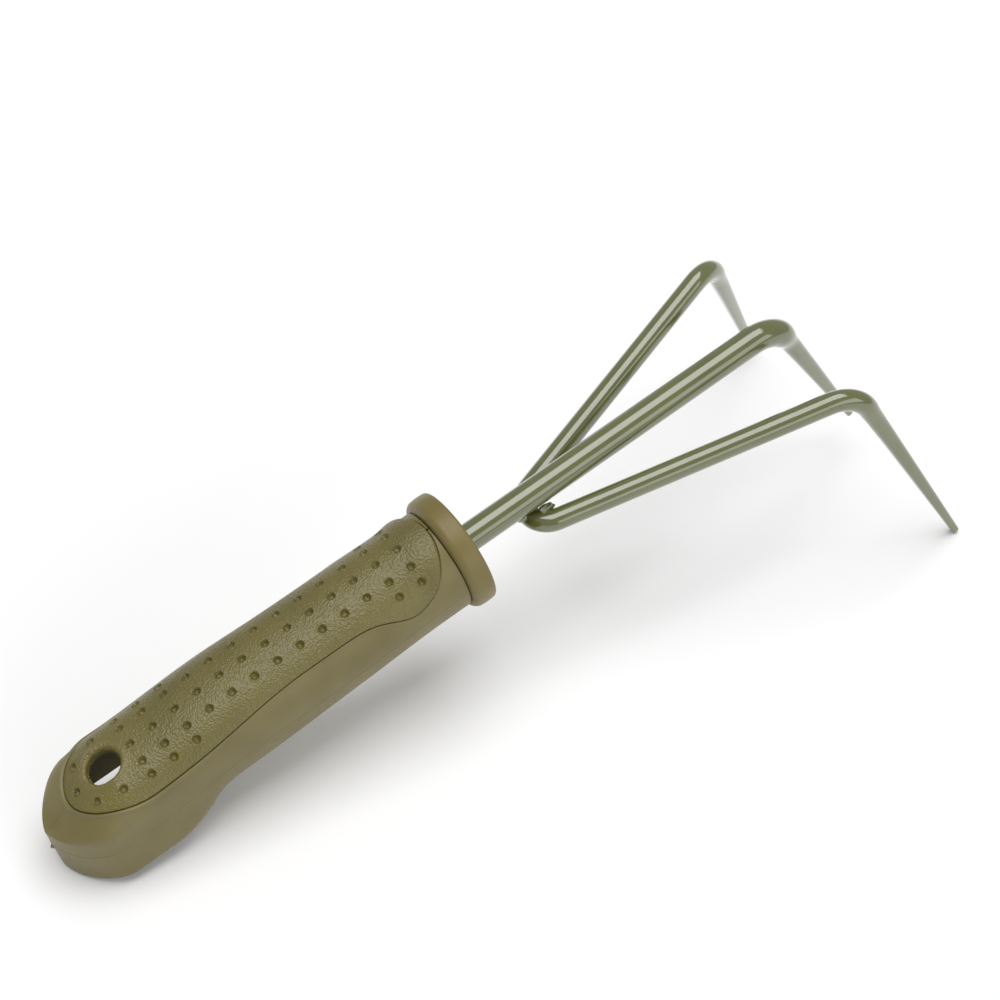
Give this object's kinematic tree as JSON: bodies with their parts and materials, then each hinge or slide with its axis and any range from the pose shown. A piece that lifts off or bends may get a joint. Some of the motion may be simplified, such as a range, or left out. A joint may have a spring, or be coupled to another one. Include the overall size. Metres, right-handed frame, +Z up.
{
  "type": "hand cultivator",
  "caption": "Hand cultivator with bent tapering tines, a moulded handle with a dimpled grip pad, a round guard collar and a hanging hole.",
  "frame": {"origin": "middle of the underside of the tool's bounding box, as it rests on the rear of its pommel and the tips of its outer tines", "axes": "+X from the pommel towards the tines, +Y to the tool's left, +Z up"},
  "size_m": [0.2786, 0.0978, 0.0714],
  "materials": {
    "handle_plastic": "satin moulded plastic, olive green",
    "grip_rubber": "soft olive elastomer with a fine pebble grain and dimples",
    "collar_plastic": "satin moulded plastic, olive green",
    "painted_steel": "glossy olive green paint"
  },
  "bodies": {
    "root": {"handle_body": "handle_plastic", "grip_pad": "grip_rubber", "collar": "collar_plastic", "centre_tine": "painted_steel", "outer_tines": "painted_steel", "weld_rear": "painted_steel", "weld_right": "painted_steel", "weld_left": "painted_steel"}
  },
  "joints": []
}
